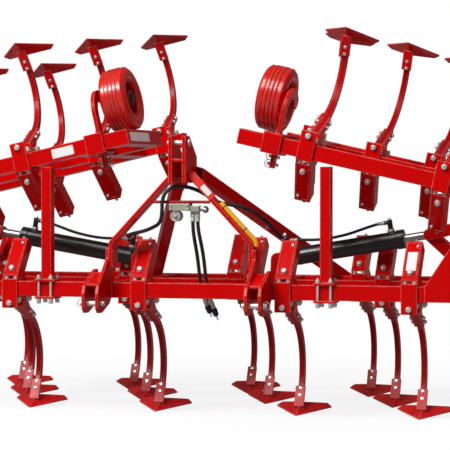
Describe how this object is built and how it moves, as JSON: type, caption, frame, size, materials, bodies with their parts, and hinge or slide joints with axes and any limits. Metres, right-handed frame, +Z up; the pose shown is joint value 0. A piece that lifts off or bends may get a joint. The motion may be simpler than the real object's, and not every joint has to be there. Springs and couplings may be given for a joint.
{
  "type": "mounted folding field cultivator",
  "caption": "Three-point mounted field cultivator with sprung tines on square beams, two wings folded over the centre by cylinders, and gauge wheels.",
  "frame": {"origin": "on the ground, midway across and midway along the cultivator as it stands folded", "axes": "+X to the right across the width, +Y to the rear away from the tractor, +Z up"},
  "size_m": [3.3016, 1.764, 2.1096],
  "materials": {
    "red_paint": "gloss",
    "black_paint": "satin",
    "zinc": "satin",
    "painted_tyre": "satin",
    "valve_metal": "satin",
    "hose_rubber": "satin"
  },
  "bodies": {
    "frame": {"front_beam": "red_paint", "middle_beam": "red_paint", "rear_beam": "red_paint", "frame_rails": "red_paint", "hinge_brackets": "red_paint", "hinge_pins": "zinc", "headstock": "red_paint", "front_struts": "red_paint", "back_braces": "red_paint", "lower_brackets": "red_paint", "lower_pins": "zinc", "top_pin": "zinc", "wing_rests": "red_paint", "hose_bow": "red_paint", "valve_block": "valve_metal", "supply_hose_a": "hose_rubber", "supply_hose_b": "hose_rubber", "couplers": "zinc", "cross_hose": "hose_rubber", "cylinder_mounts": "red_paint", "centre_clamps": "red_paint", "centre_boxes": "red_paint", "centre_springs": "black_paint", "centre_holders": "red_paint", "centre_shanks": "red_paint", "centre_shares": "red_paint"},
    "right_wing": {"right_wing_beams": "red_paint", "right_wing_rails": "red_paint", "right_wing_arms": "red_paint", "right_clamps": "red_paint", "right_boxes": "red_paint", "right_springs": "black_paint", "right_holders": "red_paint", "right_shanks": "red_paint", "right_shares": "red_paint", "right_wheel_arm": "red_paint"},
    "right_wheel": {"right_tyre": "painted_tyre", "right_rim": "red_paint"},
    "right_barrel": {"right_barrel": "black_paint", "right_port_hose": "hose_rubber"},
    "right_rod": {"right_rod": "zinc"},
    "right_rocker": {"right_rocker": "red_paint"},
    "right_link": {"right_link": "red_paint"},
    "left_wing": {"left_wing_beams": "red_paint", "left_wing_rails": "red_paint", "left_wing_arms": "red_paint", "left_clamps": "red_paint", "left_boxes": "red_paint", "left_springs": "black_paint", "left_holders": "red_paint", "left_shanks": "red_paint", "left_shares": "red_paint", "left_wheel_arm": "red_paint"},
    "left_wheel": {"left_tyre": "painted_tyre", "left_rim": "red_paint"},
    "left_barrel": {"left_barrel": "black_paint", "left_port_hose": "hose_rubber"},
    "left_rod": {"left_rod": "zinc"},
    "left_rocker": {"left_rocker": "red_paint"},
    "left_link": {"left_link": "red_paint"}
  },
  "joints": [
    {"name": "right_wing_fold", "type": "hinge", "parent": "frame", "child": "right_wing", "pos_m": [1.49, -0.21, 0.937], "axis": [0, 1, 0], "range_deg": [0, 167.3]},
    {"name": "right_wheel_spin", "type": "hinge", "parent": "right_wing", "child": "right_wheel", "pos_m": [0.4324, -0.36, 1.67968], "axis": [-0.9755, 0, 0.2198], "continuous": true},
    {"name": "right_barrel_swing", "type": "hinge", "parent": "frame", "child": "right_barrel", "pos_m": [0.395, -0.155, 0.821], "axis": [0, 1, 0], "range_deg": [-1.6, 0]},
    {"name": "right_rod_slide", "type": "slide", "parent": "right_barrel", "child": "right_rod", "axis": [0.9861, 0, 0.1659], "range_m": [0, 0.2517]},
    {"name": "right_rocker_swing", "type": "hinge", "parent": "frame", "child": "right_rocker", "pos_m": [1.4, -0.155, 0.8], "axis": [0, 1, 0], "range_deg": [0, 63.6]},
    {"name": "right_link_swing", "type": "hinge", "parent": "right_rocker", "child": "right_link", "pos_m": [1.221, -0.155, 0.96], "axis": [0, 1, 0], "range_deg": [0, 0.34]},
    {"name": "left_wing_fold", "type": "hinge", "parent": "frame", "child": "left_wing", "pos_m": [-1.49, -0.21, 0.937], "axis": [0, -1, 0], "range_deg": [0, 167.3]},
    {"name": "left_wheel_spin", "type": "hinge", "parent": "left_wing", "child": "left_wheel", "pos_m": [-0.4324, -0.36, 1.67968], "axis": [0.9755, 0, 0.2198], "continuous": true},
    {"name": "left_barrel_swing", "type": "hinge", "parent": "frame", "child": "left_barrel", "pos_m": [-0.395, -0.155, 0.821], "axis": [0, -1, 0], "range_deg": [-1.6, 0]},
    {"name": "left_rod_slide", "type": "slide", "parent": "left_barrel", "child": "left_rod", "axis": [-0.9861, 0, 0.1659], "range_m": [0, 0.2517]},
    {"name": "left_rocker_swing", "type": "hinge", "parent": "frame", "child": "left_rocker", "pos_m": [-1.4, -0.155, 0.8], "axis": [0, -1, 0], "range_deg": [0, 63.6]},
    {"name": "left_link_swing", "type": "hinge", "parent": "left_rocker", "child": "left_link", "pos_m": [-1.221, -0.155, 0.96], "axis": [0, -1, 0], "range_deg": [0, 0.34]}
  ],
  "couplings": [
    {"joint": "right_barrel_swing", "follows": "right_wing_fold", "ratio": -0.009505},
    {"joint": "right_rod_slide", "follows": "right_wing_fold", "m_per_rad": 0.086162},
    {"joint": "right_rocker_swing", "follows": "right_wing_fold", "ratio": 0.38007},
    {"joint": "right_link_swing", "follows": "right_wing_fold", "ratio": 0.001959},
    {"joint": "left_barrel_swing", "follows": "left_wing_fold", "ratio": -0.009505},
    {"joint": "left_rod_slide", "follows": "left_wing_fold", "m_per_rad": 0.086162},
    {"joint": "left_rocker_swing", "follows": "left_wing_fold", "ratio": 0.38007},
    {"joint": "left_link_swing", "follows": "left_wing_fold", "ratio": 0.001959}
  ]
}
